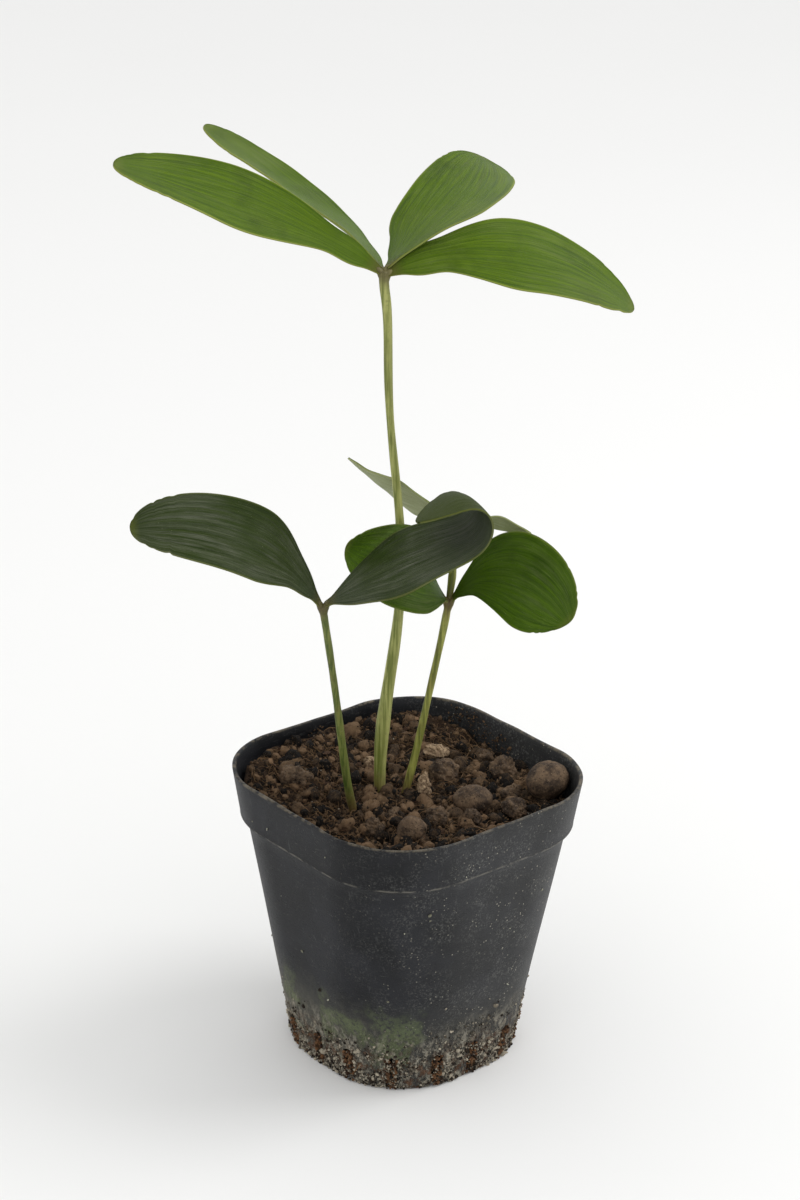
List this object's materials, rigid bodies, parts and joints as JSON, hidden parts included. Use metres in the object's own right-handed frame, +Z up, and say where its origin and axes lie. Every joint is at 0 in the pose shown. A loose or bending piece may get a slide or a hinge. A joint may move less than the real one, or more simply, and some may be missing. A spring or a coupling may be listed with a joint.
{
  "type": "potted cardboard palm",
  "caption": "Young cardboard palm with upright leaf stems and broad leathery leaflets, growing in a square black nursery pot with gritty potting mix.",
  "frame": {"origin": "centre of the pot's flat underside", "axes": "+Z up along the pot's axis; +X and +Y square to the pot's walls, with the potting mix banked up against the +Y wall"},
  "size_m": [0.1404, 0.1326, 0.2732],
  "materials": {
    "pot_plastic": "matte",
    "potting_mix": "matte",
    "tuber": "matte",
    "stem": "satin",
    "leaf": "satin",
    "clay": "matte",
    "bark": "matte"
  },
  "bodies": {
    "root": {"nursery_pot": "pot_plastic", "potting_mix": "potting_mix", "caudex": "tuber", "petiole_tall": "stem", "petiole_left": "stem", "petiole_right": "stem", "leaflet_tall_left_front": "leaf", "leaflet_tall_left_back": "leaf", "leaflet_tall_right_back": "leaf", "leaflet_tall_right_front": "leaf", "leaflet_left_outer": "leaf", "leaflet_left_folded": "leaf", "leaflet_right_outer": "leaf", "leaflet_right_inner": "leaf", "leaflet_right_upper_left": "leaf", "leaflet_right_upper_right": "leaf", "clay_pebble_rim": "clay", "clay_pebble_long": "clay", "clay_pebble_low": "clay", "clay_pebble_front": "clay", "clay_pebble_pale": "clay", "clay_pebble_edge": "clay", "clay_pebble_side": "clay", "clay_pebble_dark": "clay", "clay_pebble_far": "clay", "clay_pebble_broad": "clay", "clay_pebble_left": "clay", "clay_pebble_small": "clay", "clay_pebble_dusty": "clay", "bark_chip_flat": "bark", "bark_chip_upright": "bark", "bark_chip_small": "bark"}
  },
  "joints": []
}
